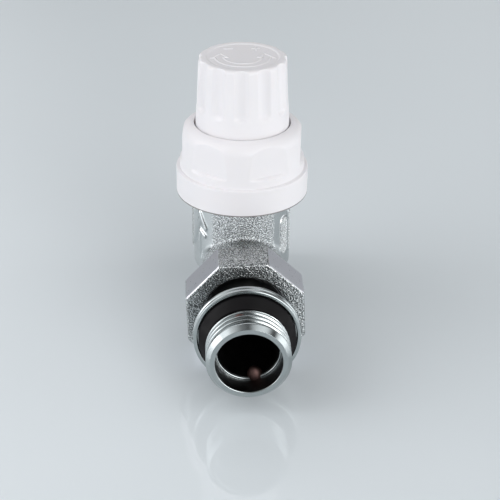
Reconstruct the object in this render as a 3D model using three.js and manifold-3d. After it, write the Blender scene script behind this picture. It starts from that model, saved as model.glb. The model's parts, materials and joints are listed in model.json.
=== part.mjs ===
// Thermostatic radiator valve, straight pattern, with a screwed protective cap.
// Units are millimetres, +Z is up, and the pipe axis runs along Y with the outlet towards -Y.
// Every piece is drawn from the crossing of the stem axis and the pipe axis, then the whole
// valve is lifted so that it stands on Z = 0 and is centred on its length.

import * as THREE from 'three';
import { mergeVertices } from 'three/addons/utils/BufferGeometryUtils.js';
import Module from 'manifold-3d';

const wasm = await Module();
wasm.setup();

// ---------------------------------------------------------------- driving dimensions

const OUTLET_REACH = 56; // stem axis to the outlet mouth
const INLET_REACH = 28; // stem axis to the inlet face
const GAP = 0.3; // running gap between neighbouring pieces

const NUT_SIDES = 8;
const NUT_ACROSS_FLATS = 30;
const NUT_REST_TURN = THREE.MathUtils.degToRad(2.5); // how the tightened nut happens to stand
const NUT_BACK = 24.3;
const NUT_FRONT = 34.3;

const BARREL_RADIUS = 13.05;
const BARREL_BOTTOM = -1.8;
const BARREL_TOP = 20;
const RUN_RADIUS = 11; // horizontal run of the casting
const SOCKET_ACROSS_FLATS = 27;
const SOCKET_BORE_RADIUS = 9.5; // G1/2 female
const BELLY_RADIUS = 10.5;
const BELLY_FOOT_RADIUS = 6;
const SEAT_RADIUS = 4.8;
const SEAT_TOP = 2;
const CHAMBER_RADIUS = 9.2;
const WELL_RADIUS = 7; // chamber under the seat
const PASSAGE_RADIUS = 4;
const PASSAGE_OFFSET = 5.6; // height of the side passages above and below the pipe axis
const UNION_THREAD_RADIUS = 13.2; // G3/4 male
const UNION_BORE_RADIUS = 9.3;
const BODY_END = 29.9; // stem axis to the end of the union thread

const THREAD_RADIUS = 10.48; // G1/2 male
const FLANGE_RADIUS = 13.45;
const FLANGE_BACK = 41.75;
const FLANGE_FRONT = 44.25;
const MOUTH_RADIUS = 8.23;
const TAIL_BORE_RADIUS = 7.4;
const TAIL_STEP = 50.7; // stem axis to the step inside the mouth
const TAIL_TUBE_RADIUS = 10.5;
const TAIL_END = 24.2;
const LUG_LENGTH = 3;
const LUG_HEIGHT = 2;
const LUG_WIDTH = 3.2;
const LUG_TURN = THREE.MathUtils.degToRad(13); // how the tightened tailpiece happens to stand

const CAP_THREAD_RADIUS = 15; // M30 x 1.5
const COLLAR_SKIRT_RADIUS = 17.5;
const COLLAR_RING_RADIUS = 16.5; // under the ledge
const COLLAR_RADIUS = 16.2; // below the shoulder
const COLLAR_SHOULDER = 3.6; // radius of the rounding up to the hole
const COLLAR_FLATS = 6;
const COLLAR_FLAT_REACH = 15.45; // stem axis to each flat
const COLLAR_FLAT_TURN = 24.4; // degrees from straight ahead of the outlet to a flat's middle
const COLLAR_BOTTOM = 19.9;
const COLLAR_STEP = 27;
const COLLAR_LEDGE = 29.6;
const COLLAR_TOP = 39.4;
const COLLAR_HOLE_RADIUS = 12.85;
const KNOB_BORE_RADIUS = 13.6; // inside the collar, around the knob's thread

const KNOB_BOTTOM = 33.5;
const KNOB_TOP = 57.35;
const KNOB_BASE_RADIUS = 12.3; // where the knob leaves the collar
const KNOB_TOP_RADIUS = 11.5;
const FLUTES = 12;
const FLUTE_PHASE = THREE.MathUtils.degToRad(-3.8); // from straight ahead of the outlet
const FLUTE_RADIUS = 2.9;
const FLUTE_DEPTH = 0.8;
const FLUTE_BOTTOM = 43.8;

const STEM_RADIUS = 1.5;
const STEM_SHANK_RADIUS = 2.2;
const STEM_TOP = 38;
const DISC_BOTTOM = 5.9; // fully open
const SPRING_COIL_RADIUS = 4;
const SPRING_WIRE_RADIUS = 0.45;
const SPRING_TURNS = 4.5;
const SPRING_LOW = 12.5;
const SPRING_HIGH = 20.3;

const FINE = 36; // segments round a large turned piece
const COARSE = 20; // segments round a small turned piece
const RING_SIDES = 8; // segments round the section of a rubber ring

// ---------------------------------------------------------------- materials

const material = (color, roughness, metalness) =>
  new THREE.MeshStandardMaterial({ color, roughness, metalness });

const nickel = () => material(0xb9bcc0, 0.3, 1);
const brass = () => material(0xc9a24e, 0.35, 1);
const steel = () => material(0xa9adb2, 0.3, 1);
const rubber = () => material(0x1b1a1d, 0.7, 0);
const whitePlastic = () => material(0xf3f1f6, 0.4, 0);
const greyPlastic = () => material(0xc9ccd0, 0.5, 0);

// ---------------------------------------------------------------- shape helpers

// Six times the signed volume; negative when the faces point inwards.
function signedVolume(geometry) {
  const position = geometry.attributes.position;
  const index = geometry.index;
  const [a, b, c] = [new THREE.Vector3(), new THREE.Vector3(), new THREE.Vector3()];
  let total = 0;
  for (let i = 0; i < index.count; i += 3) {
    a.fromBufferAttribute(position, index.getX(i));
    b.fromBufferAttribute(position, index.getX(i + 1));
    c.fromBufferAttribute(position, index.getX(i + 2));
    total += a.dot(b.cross(c));
  }
  return total;
}

// Merges shared vertices, drops empty triangles and turns the faces outwards.
function closed(source) {
  const bare = source.clone();
  bare.deleteAttribute('normal');
  bare.deleteAttribute('uv');
  const merged = mergeVertices(bare, 1e-4);
  const triangles = [];
  for (let i = 0; i < merged.index.count; i += 3) {
    const [a, b, c] = [0, 1, 2].map((k) => merged.index.getX(i + k));
    if (a !== b && b !== c && c !== a) triangles.push(a, b, c);
  }
  merged.setIndex(triangles);
  if (signedVolume(merged) < 0) {
    for (let i = 0; i < triangles.length; i += 3) {
      [triangles[i + 1], triangles[i + 2]] = [triangles[i + 2], triangles[i + 1]];
    }
    merged.setIndex(triangles);
  }
  return merged;
}

// A closed geometry as a solid that can be joined and cut.
function solid(geometry) {
  const shape = closed(geometry);
  return new wasm.Manifold(new wasm.Mesh({
    numProp: 3,
    vertProperties: new Float32Array(shape.attributes.position.array),
    triVerts: new Uint32Array(shape.index.array),
  }));
}

// The geometry of a solid.
function geometryOf(body) {
  const mesh = body.getMesh();
  const geometry = new THREE.BufferGeometry();
  geometry.setAttribute('position', new THREE.BufferAttribute(new Float32Array(mesh.vertProperties), 3));
  geometry.setIndex(new THREE.BufferAttribute(new Uint32Array(mesh.triVerts), 1));
  return geometry;
}

// Turns an outline of [radius, height] points round the stem axis. An outline that doesn't
// start and end on the axis is closed on itself.
function turned(outline, segments = FINE) {
  const points = outline.map(([r, z]) => new THREE.Vector2(r, z));
  const onAxis = outline[0][0] === 0 && outline[outline.length - 1][0] === 0;
  if (!onAxis) points.push(points[0].clone());
  return new THREE.LatheGeometry(points, segments).rotateX(Math.PI / 2);
}

// The same round the pipe axis, from [radius, distance towards the outlet] points.
const turnedAlongPipe = (outline, segments = FINE) => turned(outline, segments).rotateX(Math.PI / 2);

// Points of an arc in an outline, both ends included.
function arc(centreR, centreZ, radius, fromDegrees, toDegrees, steps) {
  return Array.from({ length: steps + 1 }, (_, i) => {
    const angle = THREE.MathUtils.degToRad(fromDegrees + ((toDegrees - fromDegrees) * i) / steps);
    return [centreR + radius * Math.cos(angle), centreZ + radius * Math.sin(angle)];
  });
}

// A plain disc or drum between two heights.
const drum = (radius, low, high, segments = FINE) =>
  turned([[0, low], [radius, low], [radius, high], [0, high]], segments);

// A plain ring between two heights.
const ring = (inner, outer, low, high, segments = COARSE) =>
  turned([[inner, low], [outer, low], [outer, high], [inner, high]], segments);

// A rubber ring of round section.
const roundRing = (middle, thickness, height, segments = COARSE) =>
  turned(arc(middle, height, thickness, 0, 360 - 360 / RING_SIDES, RING_SIDES - 1), segments);

// A regular prism round the stem axis with one flat straight ahead of the outlet.
function prism(sides, apothem, low, high) {
  const corner = apothem / Math.cos(Math.PI / sides);
  const geometry = new THREE.CylinderGeometry(corner, corner, high - low, sides, 1, false, Math.PI / sides);
  return geometry.rotateX(Math.PI / 2).translate(0, 0, (low + high) / 2);
}

const cornerRadius = (sides, acrossFlats) => acrossFlats / 2 / Math.cos(Math.PI / sides);

// Adds a finished piece to the valve.
const frame = new THREE.Group();
function piece(name, geometry, look) {
  const mesh = new THREE.Mesh(closed(geometry), look);
  mesh.name = name;
  frame.add(mesh);
}

// ---------------------------------------------------------------- overall heights

// The valve stands on the lowest corner of its union nut and on the foot under the seat.
const cornerTilt = Math.PI / NUT_SIDES - NUT_REST_TURN;
const AXIS_HEIGHT = cornerRadius(NUT_SIDES, NUT_ACROSS_FLATS) * Math.cos(cornerTilt);
const STEM_AXIS_Y = (OUTLET_REACH - INLET_REACH) / 2;
frame.position.set(0, STEM_AXIS_Y, AXIS_HEIGHT);

// ---------------------------------------------------------------- valve body

function valveBodyOutside() {
  const barrel = turned([
    [0, BARREL_BOTTOM],
    ...arc(BARREL_RADIUS - 1, BARREL_BOTTOM + 1, 1, -90, 0, 3),
    [BARREL_RADIUS, BARREL_TOP],
    [0, BARREL_TOP],
  ]);
  const belly = turned([
    [0, -AXIS_HEIGHT],
    [BELLY_FOOT_RADIUS, -AXIS_HEIGHT],
    ...arc(BELLY_RADIUS - 4, -AXIS_HEIGHT + 4.4, 4, -70, 0, 4),
    [BELLY_RADIUS, 0],
    [0, 0],
  ]);
  const run = turnedAlongPipe([[0, -15], [RUN_RADIUS, -15], [RUN_RADIUS, 23], [0, 23]]);
  const unionThread = turnedAlongPipe([
    [0, 22.4],
    [12.2, 22.4],
    [UNION_THREAD_RADIUS, 23.2],
    [UNION_THREAD_RADIUS, BODY_END - 0.8],
    [12.4, BODY_END],
    [0, BODY_END],
  ]);
  const socketCorner = cornerRadius(NUT_SIDES, SOCKET_ACROSS_FLATS);
  const socketFlats = solid(prism(NUT_SIDES, SOCKET_ACROSS_FLATS / 2, -INLET_REACH, -12).rotateX(Math.PI / 2));
  const socketChamfer = solid(turnedAlongPipe([
    [0, -INLET_REACH],
    [socketCorner - 1.1, -INLET_REACH],
    [socketCorner + 0.1, -INLET_REACH + 0.8],
    [socketCorner + 0.1, -14.2],
    [RUN_RADIUS, -12],
    [0, -12],
  ]));
  return solid(barrel)
    .add(solid(belly))
    .add(solid(run))
    .add(solid(unionThread))
    .add(socketFlats.intersect(socketChamfer));
}

function valveBodyInside() {
  const bonnetBore = drum(10, 12, BARREL_TOP + 1);
  const upperChamber = drum(CHAMBER_RADIUS, 1, 12.5);
  const orifice = drum(SEAT_RADIUS, -3, 3, COARSE);
  const well = drum(WELL_RADIUS, -12, -1.5);
  const socket = turnedAlongPipe([
    [0, -INLET_REACH - 1],
    [SOCKET_BORE_RADIUS + 1.6, -INLET_REACH - 1],
    [SOCKET_BORE_RADIUS + 1.6, -INLET_REACH],
    [SOCKET_BORE_RADIUS, -INLET_REACH + 1.4],
    [SOCKET_BORE_RADIUS, -14],
    [0, -14],
  ]);
  const inletPassage = drum(PASSAGE_RADIUS, -15, -3, COARSE)
    .rotateX(Math.PI / 2)
    .translate(0, 0, -PASSAGE_OFFSET);
  const outletPassage = drum(PASSAGE_RADIUS, 5, 14.5, COARSE)
    .rotateX(Math.PI / 2)
    .translate(0, 0, PASSAGE_OFFSET);
  const outletBore = turnedAlongPipe([
    [0, 13.2],
    [WELL_RADIUS, 13.2],
    [WELL_RADIUS, 23.6],
    [UNION_BORE_RADIUS, 23.6],
    [UNION_BORE_RADIUS, BODY_END + 1],
    [0, BODY_END + 1],
  ]);
  return [bonnetBore, upperChamber, orifice, well, socket, inletPassage, outletPassage, outletBore].map(solid);
}

function valveBody() {
  const hollowed = valveBodyInside().reduce((body, cut) => body.subtract(cut), valveBodyOutside());
  const seatLip = turned([
    [SEAT_RADIUS, 0],
    [SEAT_RADIUS + 1.4, 0],
    [SEAT_RADIUS + 0.9, SEAT_TOP],
    [SEAT_RADIUS + 0.3, SEAT_TOP],
  ], COARSE);
  return geometryOf(hollowed.add(solid(seatLip)));
}

// ---------------------------------------------------------------- bonnet and gland

function bonnet() {
  return turned([
    [4.7, 10.4],
    [8, 10.4],
    [8, 12.4],
    [9.7, 12.4],
    [9.7, 16.2],
    [8.3, 16.2],
    [8.3, 18.4],
    [9.7, 18.4],
    [9.7, BARREL_TOP + GAP],
    [12.6, BARREL_TOP + GAP],
    [12.6, 21.6],
    [14.2, 21.6],
    [CAP_THREAD_RADIUS - GAP, 22.1],
    [CAP_THREAD_RADIUS - GAP, 27.9],
    [14.2, 28.4],
    [7, 28.4],
    [7, 31],
    [4.3, 31],
    [4.3, 24.9],
    [1.85, 24.9],
    [1.85, 23.2],
    [5.5, 23.2],
    [5.5, 11],
    [4.7, 11],
  ]);
}

function glandNut() {
  const outside = solid(prism(6, 5.5, 31.3, 33.3)).add(solid(drum(4, 28.6, 31.5, COARSE)));
  const stemHole = solid(drum(1.85, 28, 34, COARSE));
  const wiperPocket = solid(drum(3.2, 32, 34, COARSE));
  return geometryOf(outside.subtract(stemHole).subtract(wiperPocket));
}

// ---------------------------------------------------------------- stem, disc and spring

function stem() {
  return turned([
    [0, 4],
    [STEM_RADIUS, 4],
    [STEM_RADIUS, 10.1],
    [STEM_SHANK_RADIUS, 10.1],
    [STEM_SHANK_RADIUS, SPRING_HIGH],
    [STEM_RADIUS, SPRING_HIGH],
    [STEM_RADIUS, 21.8],
    [1.1, 21.8],
    [1.1, 22.5],
    [STEM_RADIUS, 22.5],
    [STEM_RADIUS, STEM_TOP - 0.5],
    [STEM_RADIUS - 0.5, STEM_TOP],
    [0, STEM_TOP],
  ], COARSE);
}

function discHolder() {
  return turned([
    [1.8, 8.4],
    [6.2, 8.4],
    [6.2, 6.8],
    [6.8, 6.8],
    [6.8, 9.5],
    [6.4, 9.8],
    [1.8, 9.8],
  ], COARSE);
}

function discNut() {
  return geometryOf(solid(prism(6, 2.9, 4.2, 5.6)).subtract(solid(drum(1.8, 4, 6, COARSE))));
}

// A split ring cut from a flat ring, open towards +X.
function splitRing(inner, outer, low, high, mouth) {
  const cut = new THREE.BoxGeometry(outer * 2, mouth, (high - low) * 4)
    .translate(outer, 0, (low + high) / 2);
  return geometryOf(solid(ring(inner, outer, low, high)).subtract(solid(cut)));
}

class Helix extends THREE.Curve {
  constructor(radius, low, high, turns) {
    super();
    Object.assign(this, { radius, low, high, turns });
  }

  getPoint(t, target = new THREE.Vector3()) {
    const angle = t * this.turns * Math.PI * 2;
    const height = THREE.MathUtils.lerp(this.low, this.high, t);
    return target.set(this.radius * Math.cos(angle), this.radius * Math.sin(angle), height);
  }
}

function returnSpring() {
  const low = SPRING_LOW + SPRING_WIRE_RADIUS;
  const high = SPRING_HIGH - SPRING_WIRE_RADIUS;
  const section = new THREE.Shape();
  section.absarc(0, 0, SPRING_WIRE_RADIUS, 0, Math.PI * 2);
  return new THREE.ExtrudeGeometry(section, {
    steps: SPRING_TURNS * 12,
    curveSegments: 3,
    bevelEnabled: false,
    extrudePath: new Helix(SPRING_COIL_RADIUS, low, high, SPRING_TURNS),
  });
}

// ---------------------------------------------------------------- cap

function collar() {
  const shell = solid(turned([
    [CAP_THREAD_RADIUS + GAP, COLLAR_BOTTOM],
    [COLLAR_SKIRT_RADIUS - 0.3, COLLAR_BOTTOM],
    [COLLAR_SKIRT_RADIUS, COLLAR_BOTTOM + 0.4],
    [COLLAR_SKIRT_RADIUS, COLLAR_STEP - 0.3],
    [COLLAR_SKIRT_RADIUS - 0.3, COLLAR_STEP],
    [COLLAR_RING_RADIUS, COLLAR_STEP + 0.2],
    [COLLAR_RING_RADIUS, COLLAR_LEDGE],
    ...arc(COLLAR_RADIUS - COLLAR_SHOULDER, COLLAR_TOP - COLLAR_SHOULDER, COLLAR_SHOULDER, 0, 86, 6),
    [COLLAR_HOLE_RADIUS, 37.9],
    [KNOB_BORE_RADIUS, 37.9],
    [KNOB_BORE_RADIUS, 29.9],
    [CAP_THREAD_RADIUS + GAP, 29.9],
  ]));
  const flat = solid(new THREE.BoxGeometry(30, 6, 20)
    .translate(0, -COLLAR_FLAT_REACH - 3, COLLAR_LEDGE + 10));
  const turns = Array.from({ length: COLLAR_FLATS }, (_, i) => COLLAR_FLAT_TURN + (360 / COLLAR_FLATS) * i);
  return geometryOf(turns.reduce((body, degrees) => body.subtract(flat.rotate(0, 0, degrees)), shell));
}

function knob() {
  const shell = solid(turned([
    [0, 46],
    [2.5, 46],
    [2.5, 40.1],
    [4, 40.1],
    [4, 55.2],
    [9.6, 55.2],
    [10.9, 38],
    [10.9, KNOB_BOTTOM],
    [KNOB_BORE_RADIUS - GAP, KNOB_BOTTOM],
    [KNOB_BORE_RADIUS - GAP, 37],
    [KNOB_BASE_RADIUS + 0.1, 37.3],
    [KNOB_BASE_RADIUS, COLLAR_TOP],
    ...arc(KNOB_TOP_RADIUS - 1, KNOB_TOP - 1, 1, 0, 90, 4),
    [0, KNOB_TOP],
  ]));
  const fluteReach = (KNOB_BASE_RADIUS + KNOB_TOP_RADIUS) / 2 - FLUTE_DEPTH + FLUTE_RADIUS;
  const lean = Math.atan2(KNOB_BASE_RADIUS - KNOB_TOP_RADIUS, KNOB_TOP - COLLAR_TOP);
  const flute = solid(new THREE.CylinderGeometry(FLUTE_RADIUS, FLUTE_RADIUS, 20, 12)
    .rotateX(Math.PI / 2)
    .translate(0, 0, 10)
    .rotateX(-lean)
    .translate(0, -fluteReach, FLUTE_BOTTOM));
  const turns = Array.from({ length: FLUTES }, (_, i) => FLUTE_PHASE + (i / FLUTES) * Math.PI * 2);
  return geometryOf(turns.reduce(
    (body, angle) => body.subtract(flute.rotate(0, 0, THREE.MathUtils.radToDeg(angle))),
    shell,
  ));
}

function knobPusher() {
  return turned([
    [0, STEM_TOP + GAP],
    [3.2, STEM_TOP + GAP],
    [3.6, STEM_TOP + 0.7],
    [3.6, 39.7],
    [2.2, 39.8],
    [2.2, 45.6],
    [0, 45.6],
  ], COARSE);
}

// ---------------------------------------------------------------- tailpiece and union

function tailpiece() {
  const tube = solid(turnedAlongPipe([
    [7, TAIL_END],
    [8.7, TAIL_END],
    [8.9, TAIL_END + 0.3],
    [8.9, 25.4],
    [7.9, 25.4],
    [7.9, 27.4],
    [8.9, 27.4],
    [8.9, BODY_END + GAP],
    [TAIL_TUBE_RADIUS, BODY_END + GAP],
    [TAIL_TUBE_RADIUS, 30.5],
    [9.7, 30.5],
    [9.7, 31.8],
    [TAIL_TUBE_RADIUS, 31.8],
    [TAIL_TUBE_RADIUS, FLANGE_BACK],
    [FLANGE_RADIUS - 0.3, FLANGE_BACK],
    [FLANGE_RADIUS, FLANGE_BACK + 0.3],
    [FLANGE_RADIUS, FLANGE_FRONT - 0.3],
    [FLANGE_RADIUS - 0.3, FLANGE_FRONT],
    [12.45, FLANGE_FRONT],
    [12.45, 42.6],
    [9.3, 42.6],
    [9.3, 47.4],
    [THREAD_RADIUS, 48.4],
    [THREAD_RADIUS, OUTLET_REACH - 1.2],
    [9.5, OUTLET_REACH],
    [MOUTH_RADIUS, OUTLET_REACH],
    [MOUTH_RADIUS, TAIL_STEP],
    [TAIL_BORE_RADIUS, TAIL_STEP],
    [TAIL_BORE_RADIUS, 40],
    [7, 39.6],
  ]));
  const lug = (side) => solid(new THREE.BoxGeometry(LUG_WIDTH, LUG_LENGTH, LUG_HEIGHT + 0.6)
    .translate(0, -TAIL_STEP + LUG_LENGTH / 2 + 0.6, side * (TAIL_BORE_RADIUS + 0.3 - LUG_HEIGHT / 2))
    .rotateY(-LUG_TURN));
  return geometryOf(tube.add(lug(1)).add(lug(-1)));
}

function radiatorSeal() {
  return turnedAlongPipe([
    [9.6, 42.9],
    [12.15, 42.9],
    [12.15, 45.3],
    [11.1, 47.2],
    [9.6, 47.2],
  ]);
}

function unionNut() {
  const corner = cornerRadius(NUT_SIDES, NUT_ACROSS_FLATS);
  const block = solid(prism(NUT_SIDES, NUT_ACROSS_FLATS / 2, NUT_BACK, NUT_FRONT));
  const chamfers = solid(turned([
    [0, NUT_BACK],
    [corner - 0.7, NUT_BACK],
    [corner + 0.1, NUT_BACK + 0.5],
    [corner + 0.1, NUT_FRONT - 0.8],
    [corner - 1.3, NUT_FRONT],
    [0, NUT_FRONT],
  ]));
  const inside = solid(turned([
    [0, NUT_BACK - 1],
    [UNION_THREAD_RADIUS + GAP + 0.7, NUT_BACK - 1],
    [UNION_THREAD_RADIUS + GAP + 0.7, NUT_BACK],
    [UNION_THREAD_RADIUS + GAP, NUT_BACK + 0.7],
    [UNION_THREAD_RADIUS + GAP, 32],
    [11.4, 32],
    [11.4, NUT_FRONT + 1],
    [0, NUT_FRONT + 1],
  ]));
  return geometryOf(block.intersect(chamfers).subtract(inside))
    .rotateX(Math.PI / 2)
    .rotateY(-NUT_REST_TURN);
}

// ---------------------------------------------------------------- assembly

piece('valve_body', valveBody(), nickel());
piece('bonnet', bonnet(), brass());
piece('bonnet_oring', roundRing(9.15, 0.6, 17.3), rubber());
piece('spring_seat', ring(2.6, 5.2, 11.3, 12.2), steel());
piece('return_spring', returnSpring(), steel());
piece('gland_washer', ring(1.85, 4, 25.2, 25.7), brass());
piece('stem_oring', roundRing(2.95, 1.1, 27.1), rubber());
piece('gland_nut', glandNut(), brass());
piece('stem_wiper', ring(1.8, 2.9, 32.3, 33.2), rubber());

piece('stem', stem(), steel());
piece('stem_spring_cap', ring(1.8, 4.8, 20.6, 21.5), steel());
piece('stem_clip', splitRing(1.35, 3, 21.9, 22.4, 1.6), steel());
piece('disc_holder', discHolder(), brass());
piece('valve_disc', ring(1.8, 5.9, DISC_BOTTOM, 8.1), rubber());
piece('disc_nut', discNut(), brass());

piece('collar_slip_ring', ring(13, CAP_THREAD_RADIUS, 28.7, 29.6, FINE), greyPlastic());
piece('collar', collar(), whitePlastic());
piece('knob_pusher', knobPusher(), greyPlastic());
piece('knob', knob(), whitePlastic());

piece('tailpiece', tailpiece(), nickel());
piece('radiator_seal', radiatorSeal(), rubber());
piece('union_oring', roundRing(8.6, 0.5, 26.4).rotateX(Math.PI / 2), rubber());
piece('union_snap_ring', splitRing(10, 12.9, 30.8, 31.6, 3).rotateX(Math.PI / 2), steel());
piece('union_nut', unionNut(), nickel());

const valve = new THREE.Group();
valve.add(frame);

export default valve;
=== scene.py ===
"""Looks of the thermostatic radiator valve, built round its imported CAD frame.

Shapes are worked out in millimetres from the crossing of the stem axis and the pipe axis,
with +Z up and the outlet towards -Y, and are placed in the frame in metres.
"""
import json
import math

import bmesh
import bpy
import numpy as np
from mathutils import Matrix, Vector


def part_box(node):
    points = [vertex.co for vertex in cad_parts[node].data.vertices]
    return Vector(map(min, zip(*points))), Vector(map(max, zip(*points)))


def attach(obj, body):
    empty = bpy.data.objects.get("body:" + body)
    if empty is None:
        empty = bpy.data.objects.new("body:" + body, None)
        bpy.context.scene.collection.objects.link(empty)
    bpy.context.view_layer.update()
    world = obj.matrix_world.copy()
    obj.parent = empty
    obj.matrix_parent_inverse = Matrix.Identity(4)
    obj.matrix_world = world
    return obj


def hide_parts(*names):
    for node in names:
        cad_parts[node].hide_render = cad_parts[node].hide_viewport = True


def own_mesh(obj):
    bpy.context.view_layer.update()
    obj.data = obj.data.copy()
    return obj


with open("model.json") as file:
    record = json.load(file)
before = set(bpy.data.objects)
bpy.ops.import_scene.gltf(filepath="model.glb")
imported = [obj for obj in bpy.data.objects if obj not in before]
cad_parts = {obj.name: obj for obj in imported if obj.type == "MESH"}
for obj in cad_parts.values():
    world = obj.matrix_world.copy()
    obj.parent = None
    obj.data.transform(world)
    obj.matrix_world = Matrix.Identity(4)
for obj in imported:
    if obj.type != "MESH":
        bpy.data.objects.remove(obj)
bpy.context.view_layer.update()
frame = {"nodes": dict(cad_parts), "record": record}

MM = 0.001
knob_low, knob_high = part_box("knob")
tail_low, tail_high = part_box("tailpiece")
CROSSING = Vector((
    (knob_low.x + knob_high.x) / 2,
    (knob_low.y + knob_high.y) / 2,
    (tail_low.z + tail_high.z) / 2,
))


def local_box(node):
    """Lowest and highest corner of a CAD node in millimetres from the crossing of the axes."""
    low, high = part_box(node)
    return (low - CROSSING) / MM, (high - CROSSING) / MM


# ---------------------------------------------------------------- sizes in millimetres

# Sizes that the CAD model fixes.
BODY_LOW, BODY_HIGH = local_box("valve_body")
BONNET_LOW, BONNET_HIGH = local_box("bonnet")
COLLAR_LOW, COLLAR_HIGH = local_box("collar")
KNOB_LOW, KNOB_HIGH = local_box("knob")
NUT_LOW, NUT_HIGH = local_box("union_nut")
TAIL_LOW, TAIL_HIGH = local_box("tailpiece")
SEAL_LOW, SEAL_HIGH = local_box("radiator_seal")
SPRING_LOW, SPRING_HIGH = local_box("return_spring")

BODY_BASE = BODY_LOW.z
INLET_REACH = BODY_HIGH.y
SKIRT_RADIUS = COLLAR_HIGH.x
COLLAR_BOTTOM = COLLAR_LOW.z
COLLAR_TOP = COLLAR_HIGH.z
KNOB_BOTTOM = KNOB_LOW.z
KNOB_TOP = KNOB_HIGH.z
NUT_BACK = -NUT_HIGH.y
NUT_FRONT = -NUT_LOW.y
OUTLET_REACH = -TAIL_LOW.y
TAIL_END = -TAIL_HIGH.y
FLANGE_RADIUS = TAIL_HIGH.x

# The casting, outside.
BARREL_RADIUS = 13.05
BARREL_BOTTOM = -1.8
BARREL_TOP = 20.0
RUN_RADIUS = 11.0
RUN_FRONT = 23.5
RUN_BACK = 16
BELLY_RADIUS = 10.5
SOCKET_APOTHEM = 13.5
SOCKET_START = 13.6
UNION_THREAD_ROOT = 12.15
UNION_THREAD_CREST = 13.15
UNION_THREAD_START = 22.6
UNION_THREAD_END = 29.9
MARK_HEIGHT = 0.5
MARK_MIDDLE = 9.4
CASTING_CELL = 0.27

# The casting, inside.
BONNET_BORE = 10.0
BONNET_SHELF = 12.0
CHAMBER_RADIUS = 9.2
CHAMBER_BOTTOM = 1.2
SEAT_BORE = 4.8
SEAT_LIP_RADIUS = 5.45
SEAT_LIP_HALF_WIDTH = 0.55
SEAT_LIP_HEIGHT = 2
LOWER_CHAMBER_RADIUS = 7.0
LOWER_CHAMBER_BOTTOM = -12
PASSAGE_RADIUS = 4.0
PASSAGE_OFFSET = 5.6
OUTLET_BORE = 7.0
UNION_BORE = 9.3
UNION_BORE_START = 23.6
SOCKET_BORE = 9.5
SOCKET_THREAD_DEPTH = 0.45
SOCKET_BOTTOM = 14
SOCKET_CHAMFER = 1.6

# Threads.
PIPE_PITCH = 1.814
CAP_PITCH = 1.5

# The cap: collar and knob.
SKIRT_BORE = 15.15
# Height of the dark band at the skirt's bottom edge, a painted shadow line.
SHADOW_BAND_HEIGHT = 0.35
FLAT_COUNT = 6
FLAT_REACH = 15.45
FLAT_TURN = math.radians(24.4)
FLAT_LEDGE = 29.6
RING_RADIUS = 16.5
COLLAR_RADIUS = 16.2
COLLAR_SHOULDER = 3.6
COLLAR_STEP = 27.0
HOLE_RADIUS = 12.7
HOLE_BOTTOM = 37.9
KNOB_POCKET_RADIUS = 13.6
KNOB_POCKET_BOTTOM = 29.9
COLLAR_THREAD_TOP = 29

KNOB_BASE_RADIUS = 12.3
KNOB_TOP_RADIUS = 11.5
FLUTES = 12
FLUTE_PHASE = math.radians(-3.8)
FLUTE_RADIUS = 2.9
FLUTE_DEPTH = 0.78
FLUTE_BOTTOM = 43.8
FLUTE_RUNOUT = 1.5
DISC_RADIUS = 9.6
DISC_DEPTH = 0.18
TOP_MARK_HEIGHT = 0.16

# The union nut and the tailpiece.
NUT_SIDES = 8
NUT_APOTHEM = 15.0
NUT_TURN = math.radians(2.5)
FLANGE_BACK = 41.75
FLANGE_FRONT = 44.25
MOUTH_RADIUS = 8.23
TAIL_BORE = 7.4
STEP_LIP = 7.75
LUG_TURN = math.radians(13)
TAIL_STEP = 50.65
THREAD_CREST = 10.48
THREAD_ROOT = 9.35
THREAD_START = 47.3

# Points round a turned piece.
COLLAR_COLUMNS = 288
KNOB_COLUMNS = 480
NUT_COLUMNS = 384
TAIL_COLUMNS = 240
SEAL_COLUMNS = 192
BONNET_COLUMNS = 180

# ---------------------------------------------------------------- stage, in metres and degrees

FLOOR_REACH = 5
CAMERA_LENS = 101.07
CAMERA_YAW = math.radians(2.44)
CAMERA_PITCH = math.radians(28.34)
CAMERA_ROLL = math.radians(0.57)
CAMERA_PLACE = CROSSING + Vector((-12.16, -339.78, 184.32)) * MM
SOFTBOX_AIM = Vector((0, 0, 0.035))
SOFTBOX_DISTANCE = 0.9

# Soft glow of the studio round the valve: azimuth from the outlet towards +X, elevation, radiance.
LEFT_GLOW = [(-20, 5, 0.4), (-60, 6, 2.2), (-90, 30, 1.5), (-60, 30, 0.6), (-90, 55, 0.9), (-45, 55, 0.3)]
RIGHT_GLOW = [(25, 6, 1.7), (60, 6, 1.3), (90, 6, 2.2), (120, 6, 0.7), (30, 32, 0.8), (50, 55, 1.0)]
BACK_GLOW = [(155, 5, 0.35), (-150, 5, 0.2), (180, 30, 0.2), (-150, 30, 0.9), (-120, 30, 0.6)]
HIGH_GLOW = [(90, 55, 0.6), (135, 55, 0.45), (180, 55, 0.4), (0, 55, 0.2)]
GLOW_EDGE = math.cos(math.radians(27))
GLOW_MIDDLE = math.cos(math.radians(4))


# ---------------------------------------------------------------- number helpers

def soft_min(first, second, blend):
    """Smaller of two values, rounded over where they are within blend of each other."""
    share = np.clip(0.5 + 0.5 * (second - first) / blend, 0, 1)
    return second + (first - second) * share - blend * share * (1 - share)


def soft_max(first, second, blend):
    """Larger of two values, rounded over where they are within blend of each other."""
    return -soft_min(-first, -second, blend)


def ramp(value, start, end):
    """Smooth step from 0 at start to 1 at end."""
    share = np.clip((value - start) / (end - start), 0, 1)
    return share * share * (3 - 2 * share)


def to_nearest(angle, count, phase=0.0):
    """Angle to the nearest of count directions spread evenly round a circle."""
    pitch = 2 * math.pi / count
    return (angle - phase + pitch / 2) % pitch - pitch / 2


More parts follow.
